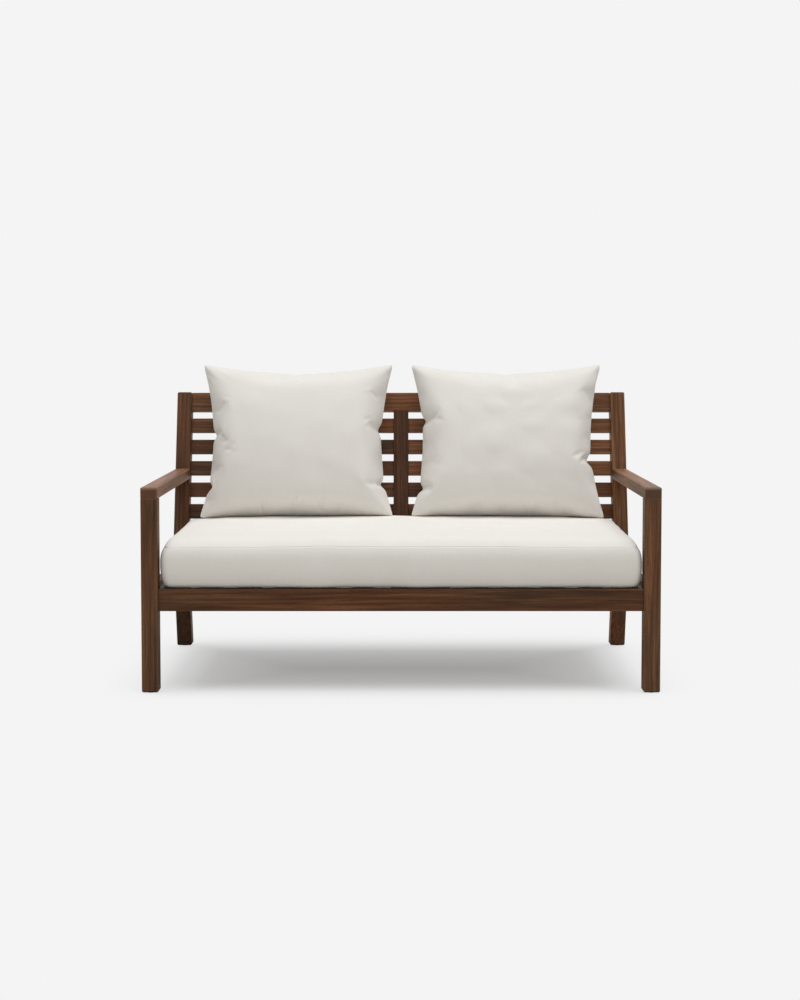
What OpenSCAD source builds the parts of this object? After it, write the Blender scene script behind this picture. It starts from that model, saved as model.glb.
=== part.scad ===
// Two-seat wooden patio bench with a slatted back, a loose box cushion and two loose back pillows.
// X runs along the bench, Y from front to back, Z up. The origin is on the ground, at the middle of
// the bench's length and depth. Depths named _y are measured back from the front legs' front faces.

/* [Overall] */
// Width over the outer faces of the legs
bench_w = 1450; // [1250:1:1700]
// Depth from the front of the front legs to the front of the rear legs at their bend
frame_d = 622; // [560:1:700]
// Height of the top of the seat frame
frame_h = 293; // [250:1:340]
// Height of the top of the armrests
arm_h = 577; // [530:1:620]
// Height of the top of the rear legs
back_h = 822; // [790:1:900]
// Angle from upright of the back, and of the rear legs below their bend
rake = 14; // [10:0.5:16]

/* [Legs] */
// Width of every leg, seen from the front
leg_w = 47; // [42:1:60]
// Depth of a front leg
leg_d = 45; // [42:1:60]
// Thickness of a rear leg, square to its slope
rear_t = 46; // [44:1:60]
// Radius inside the bend of a rear leg
bend_r = 30; // [15:1:60]
// Radius of the long edges of legs and arms
edge_r = 3.5; // [1:0.5:5]
// Bevel round the ends of the legs
foot_bevel = 4; // [1:0.5:6]
// Height that the glides hold the feet off the ground
glide_h = 2; // [1:0.5:4]
// Diameter of a glide
glide_d = 28; // [20:1:34]

/* [Arms] */
// Thickness of an armrest
arm_t = 33; // [28:1:45]
// Radius over the front end of an armrest
arm_nose_r = 9; // [4:0.5:14]

/* [Seat frame] */
// Height of the aprons and side rails
apron_h = 63; // [55:1:75]
// Thickness of the aprons and side rails
apron_t = 25; // [22:1:28]
// How far the aprons and side rails lie behind the faces of the legs
setback = 7; // [3:0.5:9]
// Radius of the long edges of rails and slats
rail_r = 2; // [1:0.5:3]
// Height and thickness of the ledger strips
ledger_t = 25; // [20:1:30]
// Number of seat slats
seat_slats = 13; // [11:2:15]
// Width of a seat slat
seat_slat_w = 60; // [45:1:70]
// Thickness of a seat slat
seat_slat_t = 18; // [15:1:22]
// Gap between the end slats and the legs
end_gap = 2; // [1:0.5:6]
// Thickness of the middle stretcher
stretcher_t = 25; // [20:1:35]
// Length of the two short sides of a corner block
block_l = 90; // [80:1:110]

/* [Back] */
// Height of the top and lower back rails
back_rail_h = 60; // [50:1:70]
// Thickness of the back rails and the stile
back_rail_t = 30; // [26:1:34]
// How far the back rails lie behind the front of the rear legs
back_inset = 8; // [4:0.5:9]
// How far the top rail lies below the top of the rear legs
rail_drop = 0.8; // [0.5:0.1:4]
// From the bend up the slope to the lower back rail
low_rail_rise = 31.4; // [26:0.1:40]
// Number of back slats one above the other
slat_rows = 5; // [3:1:6]
// Height of a back slat
slat_h = 46; // [36:1:52]
// Thickness of a back slat
slat_t = 18; // [15:1:22]
// Width of the middle stile
stile_w = 48; // [42:1:60]

/* [Joinery] */
// Thickness of the tenons on rails, legs and arms
tenon_t = 12; // [9:0.5:14]
// Length of the glued tenons on side rails, legs and arms
tenon_l = 18; // [14:0.5:19]
// Length of the stub tenons on bolted rails
stub_l = 8; // [5:0.5:10]
// Shoulder above and below a rail's tenon
shoulder = 9; // [6:0.5:11]
// Thickness of a back slat's tenon
slat_tenon_t = 10; // [8:0.5:12]
// Length of a back slat's tenon
slat_tenon_l = 12; // [8:0.5:13]
// Shoulder above and below a back slat's tenon
slat_shoulder = 5; // [3:0.5:8]
// Length of the stile's tenons
stile_tenon_l = 15; // [10:0.5:20]
// Gap round every tenon in its mortise
joint_gap = 0.2; // [0.1:0.05:0.4]

/* [Fixings] */
// Diameter of the frame bolts
bolt_d = 6; // [5:0.5:7]
// Diameter of a bolt's head
bolt_head_d = 12; // [11:0.5:13]
// Height of a bolt's head
bolt_head_h = 3.5; // [3:0.5:5]
// Width over the flats of a bolt's socket
socket_w = 4; // [3:0.5:5]
// Diameter of the counterbore round a bolt's head
counterbore_d = 15; // [14:0.5:17]
// Depth of that counterbore
counterbore_h = 6; // [5:0.5:8]
// From a rail's end to the middle of its barrel nut
nut_in = 22; // [20:0.5:26]
// Diameter of a barrel nut
nut_d = 10; // [9:0.5:12]
// Length of a barrel nut
nut_l = 16; // [14:0.5:18]
// How far a bolt's end passes its nut's middle
bolt_past = 8; // [6:0.5:10]
// Diameter of a wood screw
screw_d = 4; // [3.5:0.5:4.5]
// Diameter of a screw's countersunk head
screw_head_d = 8; // [7:0.5:9]
// Length of a screw that holds a seat slat
slat_screw_l = 35; // [30:1:38]
// Length of a screw that holds a ledger
ledger_screw_l = 40; // [36:1:42]
// Diameter of a glide's stem
stem_d = 6; // [5:0.5:8]
// Length of a glide's stem
stem_l = 15; // [10:1:20]
// Gap round bolts, nuts and stems in their holes
hole_gap = 0.2; // [0.1:0.05:0.4]
// Gap round a screw's or a bolt's thread
thread_gap = 0.05; // [0.05:0.01:0.1]

/* [Seat cushion] */
// Gap between the cushion's seams and the legs beside it
cushion_gap = 14; // [10:0.5:20]
// From the front of the legs to the cushion's front seam
cushion_front = 14; // [8:0.5:30]
// Gap between the cushion and the lower back rail
cushion_back_gap = 9.4; // [8.5:0.1:14]
// Height of the cushion's seam above the seat frame at its ends
boxing_h = 118; // [100:1:130]
// Extra height of that seam at its middle
seam_bow = 4; // [1:0.5:6]
// Crown of the top panel above the seam
crown_h = 20; // [8:0.5:26]
// Width over which the top panel rounds up from its seams
crown_edge = 32; // [20:1:60]
// How far the sides swell past the seams
side_swell = 9; // [1:0.5:9]
// How far the front and the ends draw in between the corners
draw_in = 5; // [2:0.5:9]
// Corner radius of the cushion, seen from above
cushion_corner_r = 26; // [15:1:40]
// Radius under the cushion's lower edge
cushion_under_r = 16; // [6:1:20]
// Clearance between soft parts and what they rest on
rest_gap = 0.3; // [0.3:0.05:0.6]

/* [Cushion zip] */
// From each end of the zip to the cushion's rear corner
zip_end = 134; // [60:1:200]
// Width of the zip's tape
zip_tape_w = 26; // [22:1:32]
// Thickness of the tape
zip_tape_t = 1; // [0.8:0.1:1.5]
// Width of the closed row of teeth
zip_coil_w = 6; // [5:0.5:8]
// Height of the teeth over the tape
zip_coil_t = 2; // [1.5:0.1:2.5]
// Height of the zip above the seat frame
zip_rise = 30; // [26:1:34]
// Length of the zip's slider
slider_l = 12; // [10:0.5:15]
// Width of the slider
slider_w = 9; // [8:0.5:11]
// Thickness of the slider's outer plate
slider_t = 2; // [1.5:0.1:2.5]

/* [Back pillows] */
// Gap between a pillow's outer corners and the leg beside it
pillow_side_gap = 40; // [34:0.5:60]
// Gap between the inner corners of the two pillows
pillow_mid_gap = 60; // [40:0.5:90]
// How far both pillows lie to the right of the bench's middle
pillow_shift = 3.5; // [0:0.5:6]
// How far a pillow's upper corners stand above the top back rail, up the slope
pillow_over = 77.6; // [50:0.1:100]
// Thickness of a pillow in front of its seam
pillow_front_t = 112; // [80:1:130]
// Thickness of a pillow behind its seam
pillow_back_t = 62; // [45:1:80]
// How far a pillow's sides draw in between its corners
pillow_side_in = 32; // [15:1:45]
// How far its top edge dips between its corners
pillow_top_in = 27; // [10:1:40]
// How far a pillow sinks below the top of the seat cushion's crown
pillow_sink = 9; // [0:0.5:12]

/* [Hidden] */
$fn = 48;
sides = ["left", "right"];
seat_rows = [for (i = [1:seat_slats]) i];
back_rows = [for (i = [1:slat_rows]) i];

// Colours
wood = [0.35, 0.23, 0.17];
cloth = [0.90, 0.89, 0.85];
steel = [0.62, 0.62, 0.63];
nylon = [0.12, 0.11, 0.10];

// How far a cut runs past the face that it opens
overrun = 10;
// The rear legs bend just above the seat frame
bend_outer_r = bend_r + rear_t;
bend_reach = bend_outer_r * tan(rake);
bend_z = frame_h + bend_reach * cos(rake);
back_top_s = (back_h - bend_z) / cos(rake);
overall_d = frame_d + back_top_s * sin(rake) + rear_t * cos(rake);
half_w = bench_w / 2;
inner_x = half_w - leg_w;
// Seat frame
apron_z = frame_h - apron_h;
apron_mid_z = frame_h - apron_h / 2;
rear_apron_y = lower_front(apron_mid_z) + (rear_t / cos(rake) - apron_t) / 2;
rail_x = half_w - setback - apron_t;
slat_z = frame_h - seat_slat_t;
ledger_z = slat_z - ledger_t;
front_ledger_y = setback + apron_t;
rear_ledger_y = rear_apron_y - ledger_t;
ledger_half = rail_x - block_l - joint_gap;
seat_pitch = (2 * (inner_x - end_gap) - seat_slat_w) / (seat_slats - 1);
// Where a ledger's screws lie out from its middle, as shares of the slats' pitch
ledger_screw_shares = [0.5, 2.5, 4.5];
// Back
back_mid_v = back_inset + back_rail_t / 2;
top_rail_s = back_top_s - rail_drop - back_rail_h;
low_rail_top_s = low_rail_rise + back_rail_h;
slat_gap = (top_rail_s - low_rail_top_s - slat_rows * slat_h) / (slat_rows + 1);
// Bolts
bolt_l = leg_w - counterbore_h + nut_in + bolt_past;
screw_head_h = (screw_head_d - screw_d) / 2;
// Seat cushion
seam_half_x = inner_x - cushion_gap;
cushion_back_y = frame_d + low_rail_rise * sin(rake) + back_inset * cos(rake) - cushion_back_gap;
seam_half_y = (cushion_back_y - cushion_front) / 2;
cushion_mid_y = (cushion_back_y + cushion_front) / 2;
cushion_z = frame_h + rest_gap;
seam_z = frame_h + boxing_h;
cushion_top_z = seam_z + seam_bow + crown_h;
zip_l = 2 * (seam_half_x - zip_end);
// Points round each ring of the cushion
long_points = 16;
short_points = 8;
corner_points = 5;
quarter_turn = 90;
// How far round the lower edge each ring lies
under_shares = [0, 0.5, 1];
// How far up the boxing each ring lies, and how far it swells there
boxing_shares = [0.22, 0.38, 0.6, 0.8, 0.93];
swell_shares = [0.8, 1, 0.9, 0.6, 0.25];
// How far each ring of the top panel lies in from the seam
top_shares = [0, 0.012, 0.03, 0.06, 0.1, 0.3, 0.6, 0.85];
// Pillows: grid, seam plane and the powers that round their faces
pillow_grid = 22;
pillow_power = 2.4;
pillow_full_power = 0.62;
belly_drop_share = 0.12;
pillow_v = back_mid_v - slat_t / 2 - rest_gap - pillow_back_t;
pillow_bottom_s = (cushion_top_z - pillow_sink - bend_z + pillow_v * sin(rake)) / cos(rake);
pillow_clear = 2 * rest_gap;
pillow_w = inner_x - pillow_side_gap - pillow_mid_gap / 2;
pillow_h = top_rail_s + back_rail_h + pillow_over - pillow_bottom_s;
pillow_x = (pillow_w + pillow_mid_gap) / 2;
// How far a bevel's cut is drawn out past its two edges, as a share of the bevel
draw_out_share = 0.5;

// Front and rear faces of a rear leg below its bend, at height z
function lower_front(z) = frame_d + (bend_z - z) * tan(rake);
function lower_rear(z) = lower_front(z) + rear_t / cos(rake);
function seat_slat_x(i) = (i - (seat_slats + 1) / 2) * seat_pitch;
function back_slat_s(i) = top_rail_s - i * (slat_h + slat_gap);
// A point past a, on the line from b to a
function beyond(a, b) = a + (a - b) * draw_out_share;

// Frames of reference

// Puts depths that start at the front legs' front faces into the bench's own frame
module placed() translate([0, -overall_d / 2, 0]) children();

// The right side as drawn, or the left one as its mirror image
module on(side) {
    if (side == "left") mirror([1, 0, 0]) children();
    else children();
}

// X across, Y through the back and Z up its slope, from the front of the bend
module in_back() translate([0, frame_d, bend_z]) rotate([-rake, 0, 0]) children();

// The same for the rear legs below their bend
module in_foot() translate([0, frame_d, bend_z]) rotate([rake, 0, 0]) children();

// Shared shapes

module rounded(a, b, r) translate([a / 2, b / 2]) union() {
    square([a - 2 * r, b], center = true);
    square([a, b - 2 * r], center = true);
    for (i = [-1, 1], j = [-1, 1])
        translate([i * (a / 2 - r), j * (b / 2 - r)]) circle(r = r);
}

// Bars with rounded long edges, which start at the origin and run along X, Y or Z
module bar_x(l, d, h, r) rotate([90, 0, 90]) linear_extrude(l) rounded(d, h, r);
module bar_y(l, w, h, r) translate([0, l, 0]) rotate([90, 0, 0]) linear_extrude(l) rounded(w, h, r);
module bar_z(l, w, d, r) linear_extrude(l) rounded(w, d, r);

// Cuts the corner off an outline, from p to q
module corner_cut(p, corner, q) polygon([beyond(p, q), 3 * corner - p - q, beyond(q, p)]);

// Bevels the two side edges at the end z of a leg that starts at x and is leg_w wide
module side_bevels(x, z, up, reach) {
    rise = up * foot_bevel;
    translate([0, reach, 0]) rotate([90, 0, 0]) linear_extrude(2 * reach) {
        corner_cut([x + foot_bevel, z], [x, z], [x, z + rise]);
        corner_cut([x + leg_w - foot_bevel, z], [x + leg_w, z], [x + leg_w, z + rise]);
    }
}

// A tenon from x along X, or its mortise when gap is above zero
module tenon_x(x, l, t, h, gap = 0)
    translate([x - gap, -t / 2 - gap, -h / 2 - gap]) cube([l + 2 * gap, t + 2 * gap, h + 2 * gap]);

// The frame of bolt i, with Z out along the bolt: front apron, rear apron, top rail, lower rail
module at_bolt(i) {
    if (i == 0) translate([0, setback + apron_t / 2, apron_mid_z]) children();
    if (i == 1) translate([0, rear_apron_y + apron_t / 2, apron_mid_z]) children();
    if (i == 2) in_back() translate([0, back_mid_v, top_rail_s + back_rail_h / 2]) children();
    if (i == 3) in_back() translate([0, back_mid_v, low_rail_rise + back_rail_h / 2]) children();
}

// Hole and counterbore of a bolt in a leg, seen from the bolt's own frame
module bolt_hole() {
    translate([inner_x - overrun, 0, 0]) rotate([0, 90, 0])
        cylinder(h = leg_w + 2 * overrun, d = bolt_d + 2 * hole_gap);
    translate([half_w - counterbore_h, 0, 0]) rotate([0, 90, 0])
        cylinder(h = counterbore_h + overrun, d = counterbore_d);
}

// Hole for the bolt's end and blind bore of its nut in a rail of thickness t, open towards Y's sign
module nut_bore(t, open) {
    depth = t / 2 + nut_l / 2;
    translate([inner_x - nut_in - bolt_past - hole_gap, 0, 0]) rotate([0, 90, 0])
        cylinder(h = nut_in + bolt_past + stub_l + overrun, d = bolt_d + 2 * hole_gap);
    translate([inner_x - nut_in, -open * nut_l / 2, 0]) rotate([-open * 90, 0, 0])
        translate([0, 0, -hole_gap]) cylinder(h = depth + overrun, d = nut_d + 2 * hole_gap);
}

// A countersunk screw with its head's top at the origin, pointing down, or its hole
module screw(l, gap = 0) {
    translate([0, 0, -screw_head_h])
        cylinder(h = screw_head_h, d1 = screw_d + 2 * gap, d2 = screw_head_d + 2 * gap);
    translate([0, 0, -l - gap]) cylinder(h = l + gap - screw_head_h, d = screw_d + 2 * gap);
}

// The two screws at each end of seat slat i
module at_slat_screws(i)
    for (dx = [-1, 1], y = [front_ledger_y + ledger_t / 2, rear_apron_y - ledger_t / 2])
        translate([seat_slat_x(i) + dx * seat_slat_w / 4, y, frame_h]) children();

// The screws through a ledger, between the slats, with Z out of its inner face
module at_ledger_screws(rear)
    for (k = [-1, 1], share = ledger_screw_shares)
        translate([k * share * seat_pitch, rear ? rear_ledger_y : front_ledger_y + ledger_t,
            ledger_z + ledger_t / 2])
            rotate([rear ? 90 : -90, 0, 0]) children();

// Legs

module front_leg(side) color(wood) placed() on(side) difference() {
    union() {
        translate([inner_x, 0, glide_h])
            bar_z(arm_h - arm_t - glide_h, leg_w, leg_d, edge_r);
        arm_post(0);
    }
    side_bevels(inner_x, glide_h, 1, half_w);
    rotate([90, 0, 90]) linear_extrude(half_w + overrun) {
        corner_cut([foot_bevel, glide_h], [0, glide_h], [0, glide_h + foot_bevel]);
        corner_cut([leg_d - foot_bevel, glide_h], [leg_d, glide_h], [leg_d, glide_h + foot_bevel]);
    }
    at_bolt(0) tenon_x(inner_x, stub_l, tenon_t, apron_h - 2 * shoulder, joint_gap);
    at_bolt(0) bolt_hole();
    side_tenons(joint_gap);
    translate([inner_x + leg_w / 2, leg_d / 2, glide_h])
        cylinder(h = stem_l + hole_gap, d = stem_d + 2 * hole_gap);
}

// The tenon on top of a front leg, or its mortise in the arm
module arm_post(gap)
    translate([inner_x + (leg_w - tenon_l) / 2 - gap, leg_d / 4 - gap, arm_h - arm_t - gap])
        cube([tenon_l + 2 * gap, leg_d / 2 + 2 * gap, tenon_l + 2 * gap]);

// Half of a rear leg's stick, from the middle of the bend, whose centre is the origin, up its slope
module half_stick(l) difference() {
    rotate([-rake, 0, 0]) union() {
        translate([inner_x, -bend_outer_r, 0]) bar_z(l, leg_w, rear_t, edge_r);
        rotate([180, 0, 0]) rotate([90, 0, 90]) rotate_extrude(angle = 2 * rake)
            translate([bend_r, inner_x]) rounded(rear_t, leg_w, edge_r);
    }
    translate([0, -bench_w, -bench_w]) cube([bench_w, 2 * bench_w, bench_w]);
}

// The whole stick of a rear leg, before its foot is cut off and its mortises are cut
module rear_stick() translate([0, frame_d + bend_outer_r / cos(rake), bend_z]) union() {
    half_stick(back_top_s - bend_reach);
    mirror([0, 0, 1]) half_stick(2 * bend_z);
}

module rear_leg(side) color(wood) placed() on(side) difference() {
    rear_stick();
    translate([0, 0, glide_h - bench_w]) cube([bench_w, bench_w, bench_w]);
    side_bevels(inner_x, glide_h, 1, bench_w);
    rotate([90, 0, 90]) linear_extrude(half_w + overrun) {
        corner_cut([lower_front(glide_h) + foot_bevel, glide_h], [lower_front(glide_h), glide_h],
            [lower_front(glide_h + foot_bevel), glide_h + foot_bevel]);
        corner_cut([lower_rear(glide_h) - foot_bevel, glide_h], [lower_rear(glide_h), glide_h],
            [lower_rear(glide_h + foot_bevel), glide_h + foot_bevel]);
    }
    in_back() {
        side_bevels(inner_x, back_top_s, -1, bench_w);
        rotate([90, 0, 90]) linear_extrude(half_w + overrun) {
            corner_cut([foot_bevel, back_top_s], [0, back_top_s], [0, back_top_s - foot_bevel]);
            corner_cut([rear_t - foot_bevel, back_top_s], [rear_t, back_top_s],
                [rear_t, back_top_s - foot_bevel]);
        }
        for (i = back_rows)
            translate([0, back_mid_v, back_slat_s(i) + slat_h / 2])
                tenon_x(inner_x, slat_tenon_l, slat_tenon_t, slat_h - 2 * slat_shoulder, joint_gap);
    }
    at_bolt(1) tenon_x(inner_x, stub_l, tenon_t, apron_h - 2 * shoulder, joint_gap);
    for (i = [2, 3])
        at_bolt(i) tenon_x(inner_x, stub_l, tenon_t, back_rail_h - 2 * shoulder, joint_gap);
    for (i = [1:3])
        at_bolt(i) bolt_hole();
    side_tenons(joint_gap);
    arm_tenon(joint_gap);
    translate([inner_x + leg_w / 2, (lower_front(glide_h) + lower_rear(glide_h)) / 2, glide_h])
        cylinder(h = stem_l + hole_gap, d = stem_d + 2 * hole_gap);
}

module leg_glides() color(nylon) placed()
    for (side = sides, y = [leg_d / 2, (lower_front(glide_h) + lower_rear(glide_h)) / 2])
        on(side) translate([inner_x + leg_w / 2, y, 0]) union() {
            cylinder(h = glide_h / 2, d1 = glide_d - glide_h, d2 = glide_d);
            translate([0, 0, glide_h / 2]) cylinder(h = glide_h / 2, d = glide_d);
            translate([0, 0, glide_h]) cylinder(h = stem_l, d = stem_d);
        }

// Arms

// The tenon on an arm's rear end, or its mortise in the rear leg
module arm_tenon(gap)
    translate([inner_x + leg_w / 2, arm_rear_y, arm_h - arm_t / 2])
        translate([-tenon_l / 2 - gap, -leg_d - gap, -arm_t / 4 - gap])
            cube([tenon_l + 2 * gap, leg_d + tenon_l + 2 * gap, arm_t / 2 + 2 * gap]);

// Depth of the rear leg's front face at the middle of the arm
arm_rear_y = frame_d + (arm_h - arm_t / 2 - bend_z) * tan(rake);

module arm_side() union() {
    square([bench_w, arm_t - arm_nose_r]);
    translate([arm_nose_r, 0]) square([bench_w, arm_t]);
    translate([arm_nose_r, arm_t - arm_nose_r]) circle(r = arm_nose_r);
}

module armrest(side) color(wood) placed() on(side) difference() {
    union() {
        difference() {
            intersection() {
                translate([inner_x, 0, arm_h - arm_t]) bar_y(bench_w, leg_w, arm_t, edge_r);
                translate([inner_x, 0, arm_h - arm_t]) rotate([90, 0, 90]) linear_extrude(leg_w) arm_side();
                translate([inner_x, 0, arm_h - arm_t]) bar_z(arm_t, leg_w, bench_w, edge_r);
            }
            in_back() translate([0, 0, -bench_w]) cube([bench_w, bench_w, 2 * bench_w]);
        }
        intersection() {
            arm_tenon(0);
            translate([0, arm_rear_y - arm_t, 0]) cube([bench_w, bench_w, bench_w]);
        }
    }
    arm_post(joint_gap);
}

// Seat frame

// The two tenons of a side rail, or their mortises in the legs
module side_tenons(gap) {
    h = apron_h - 2 * shoulder;
    front_y = leg_d - tenon_l;
    rear_y = lower_front(apron_mid_z) + tenon_l;
    for (y = [[front_y, leg_d + shoulder], [lower_front(frame_h) - shoulder, rear_y]])
        translate([rail_x + (apron_t - tenon_t) / 2 - gap, y[0] - gap, apron_z + shoulder - gap])
            cube([tenon_t + 2 * gap, y[1] - y[0] + 2 * gap, h + 2 * gap]);
}

module side_rail(side) color(wood) placed() on(side) union() {
    difference() {
        translate([rail_x, leg_d, apron_z]) bar_y(frame_d, apron_t, apron_h, rail_r);
        in_foot() translate([0, 0, -bench_w]) cube([bench_w, bench_w, 2 * bench_w]);
    }
    side_tenons(0);
}

// A rail between the legs with a stub tenon at each end, drawn in the frame of its own bolts
module bolted_rail(t, h) {
    translate([-inner_x, -t / 2, -h / 2]) bar_x(2 * inner_x, t, h, rail_r);
    for (side = sides)
        on(side) tenon_x(inner_x - stub_l, 2 * stub_l, tenon_t, h - 2 * shoulder);
}

// The stub tenons of the middle stretcher, or their mortises in the aprons
module stretcher_tenons(gap) {
    h = (ledger_z - apron_z) / 2;
    y = front_ledger_y - stub_l;
    translate([-tenon_t / 2 - gap, y - gap, apron_z + h / 2 - gap])
        cube([tenon_t + 2 * gap, rear_apron_y + stub_l - y + 2 * gap, h + 2 * gap]);
}

module front_apron() color(wood) placed() difference() {
    at_bolt(0) bolted_rail(apron_t, apron_h);
    for (side = sides)
        at_bolt(0) on(side) nut_bore(apron_t, 1);
    stretcher_tenons(joint_gap);
    at_ledger_screws(false) screw(ledger_screw_l, thread_gap);
}

module rear_apron() color(wood) placed() difference() {
    at_bolt(1) bolted_rail(apron_t, apron_h);
    for (side = sides)
        at_bolt(1) on(side) nut_bore(apron_t, -1);
    stretcher_tenons(joint_gap);
    at_ledger_screws(true) screw(ledger_screw_l, thread_gap);
}

module ledger(rear) color(wood) placed() difference() {
    translate([-ledger_half, rear ? rear_ledger_y : front_ledger_y, ledger_z])
        bar_x(2 * ledger_half, ledger_t, ledger_t, rail_r);
    at_ledger_screws(rear) screw(ledger_screw_l, thread_gap);
    for (i = seat_rows)
        at_slat_screws(i) screw(slat_screw_l, thread_gap);
}

module middle_stretcher() color(wood) placed() union() {
    difference() {
        translate([-stretcher_t / 2, front_ledger_y, apron_z])
            bar_y(rear_apron_y - front_ledger_y, stretcher_t, slat_z - apron_z, rail_r);
        for (y = [front_ledger_y - overrun, rear_ledger_y - joint_gap])
            translate([-stretcher_t, y, ledger_z])
                cube([2 * stretcher_t, ledger_t + overrun + joint_gap, ledger_t + overrun]);
    }
    stretcher_tenons(0);
}

// Seen from above, a triangle in the corner of an apron and a side rail, less the leg's own corner
module corner_blocks() color(wood) placed() for (side = sides) on(side) {
    h = slat_z - apron_z - shoulder / 2;
    z = apron_z + shoulder / 2;
    difference() {
        translate([0, 0, z]) linear_extrude(h) polygon([[rail_x - block_l, front_ledger_y],
            [rail_x, front_ledger_y], [rail_x, front_ledger_y + block_l]]);
        translate([inner_x, 0, 0]) cube([leg_w, leg_d, frame_h]);
        for (i = [1, seat_slats])
            at_slat_screws(i) screw(slat_screw_l, thread_gap);
    }
    difference() {
        translate([0, 0, z]) linear_extrude(h) polygon([[rail_x - block_l, rear_apron_y],
            [rail_x, rear_apron_y], [rail_x, rear_apron_y - block_l]]);
        in_foot() translate([inner_x, 0, -bench_w]) cube([leg_w, bench_w, 2 * bench_w]);
        for (i = [1, seat_slats])
            at_slat_screws(i) screw(slat_screw_l, thread_gap);
    }
}

module seat_slat(i) color(wood) placed() difference() {
    translate([seat_slat_x(i) - seat_slat_w / 2, front_ledger_y + joint_gap, slat_z])
        bar_y(rear_apron_y - front_ledger_y - 2 * joint_gap, seat_slat_w, seat_slat_t, rail_r);
    at_slat_screws(i) screw(slat_screw_l, thread_gap);
}

// Back

module top_back_rail() color(wood) placed() difference() {
    at_bolt(2) bolted_rail(back_rail_t, back_rail_h);
    for (side = sides)
        at_bolt(2) on(side) nut_bore(back_rail_t, 1);
    stile_tenons(joint_gap);
}

module lower_back_rail() color(wood) placed() difference() {
    at_bolt(3) bolted_rail(back_rail_t, back_rail_h);
    for (side = sides)
        at_bolt(3) on(side) nut_bore(back_rail_t, 1);
    stile_tenons(joint_gap);
}

// The tenons at the stile's ends, or their mortises in the back rails
module stile_tenons(gap) in_back()
    translate([-stile_w / 2 + shoulder - gap, back_mid_v - tenon_t / 2 - gap,
        low_rail_top_s - stile_tenon_l - gap])
        cube([stile_w - 2 * shoulder + 2 * gap, tenon_t + 2 * gap,
            top_rail_s - low_rail_top_s + 2 * stile_tenon_l + 2 * gap]);

module back_stile() color(wood) placed() difference() {
    union() {
        in_back() translate([-stile_w / 2, back_inset, low_rail_top_s])
            bar_z(top_rail_s - low_rail_top_s, stile_w, back_rail_t, rail_r);
        stile_tenons(0);
    }
    in_back() for (side = sides, i = back_rows)
        on(side) translate([0, back_mid_v, back_slat_s(i) + slat_h / 2])
            tenon_x(stile_w / 2 - slat_tenon_l, 2 * slat_tenon_l, slat_tenon_t,
                slat_h - 2 * slat_shoulder, joint_gap);
}

module back_slat(side, i) color(wood) placed() on(side) in_back()
    translate([0, back_mid_v, back_slat_s(i)]) {
        l = inner_x - stile_w / 2;
        translate([stile_w / 2, -slat_t / 2, 0]) bar_x(l, slat_t, slat_h, rail_r);
        translate([0, 0, slat_h / 2])
            tenon_x(stile_w / 2 - slat_tenon_l, l + 2 * slat_tenon_l, slat_tenon_t,
                slat_h - 2 * slat_shoulder);
    }

// Fixings

module frame_bolts() color(steel) placed() for (i = [0:3], side = sides)
    at_bolt(i) on(side) translate([half_w - counterbore_h, 0, 0]) rotate([0, 90, 0]) difference() {
        union() {
            cylinder(h = bolt_head_h, d1 = bolt_head_d, d2 = bolt_head_d - bolt_head_h);
            translate([0, 0, -bolt_l]) cylinder(h = bolt_l, d = bolt_d);
        }
        translate([0, 0, bolt_head_h / 4]) cylinder(h = bolt_head_h, d = socket_w / cos(30), $fn = 6);
    }

module barrel_nuts() color(steel) placed() for (i = [0:3], side = sides)
    at_bolt(i) on(side) translate([inner_x - nut_in, 0, 0]) difference() {
        rotate([90, 0, 0]) cylinder(h = nut_l, d = nut_d, center = true);
        rotate([0, 90, 0]) cylinder(h = 2 * nut_d, d = bolt_d + 2 * thread_gap, center = true);
    }

module slat_screws() color(steel) placed() for (i = seat_rows)
    at_slat_screws(i) screw(slat_screw_l);

module ledger_screws() color(steel) placed() for (rear = [false, true])
    at_ledger_screws(rear) screw(ledger_screw_l);

// Seat cushion

// Height of the top panel's seam, from its place a, which runs from -1 to 1 along the cushion
function seam_height(a) = seam_z + seam_bow * (1 - a * a);
// Height of the crown above the seam, this far in from it: a quarter of an ellipse, then flat
function crown_rise(inset) =
    let (out = 1 - min(1, max(0, inset) / crown_edge))
    crown_h * sqrt(1 - out * out);
function seat_top(x, y) =
    seam_height(x / seam_half_x)
    + crown_rise(min(seam_half_x - abs(x), seam_half_y - abs(y - cushion_mid_y)));

// One ring of the cushion: a rounded rectangle set in by inset
function ring(inset) =
    let (hx = seam_half_x - inset, hy = seam_half_y - inset, r = max(cushion_corner_r - inset, rest_gap),
        corners = [[1, 1, 0], [-1, 1, 1], [-1, -1, 2], [1, -1, 3]],
        counts = [long_points, short_points, long_points, short_points],
        arc = function(c) [for (k = [0:corner_points - 1])
            let (t = quarter_turn * (c[2] + k / (corner_points - 1)))
            [c[0] * (hx - r) + r * cos(t), c[1] * (hy - r) + r * sin(t)]])
    [for (c = [0:3])
        let (here = arc(corners[c]), next = arc(corners[(c + 1) % 4])[0], last = here[corner_points - 1])
        each concat(here, [for (k = [1:counts[c] - 1]) last + (next - last) * k / counts[c]])];

// Draws a ring's front and ends in towards their middles, by a share that grows with its height,
// and swells them; the rear panel stays flat
function shaped(p, swell, drawn) =
    let (a = p[0] / seam_half_x, b = p[1] / seam_half_y,
        push_x = swell * side_swell - drawn * draw_in * (1 - b * b),
        push_y = (swell * side_swell - drawn * draw_in * (1 - a * a)) * (b < 0 ? 1 : 0))
    [p[0] + push_x * a * abs(a), cushion_mid_y + p[1] + push_y * b * abs(b)];

function boxing_ring(share, swell) =
    [for (p = ring(0)) let (q = shaped(p, swell, share))
        [q[0], q[1], cushion_z + (seam_height(p[0] / seam_half_x) - cushion_z) * share]];

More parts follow.
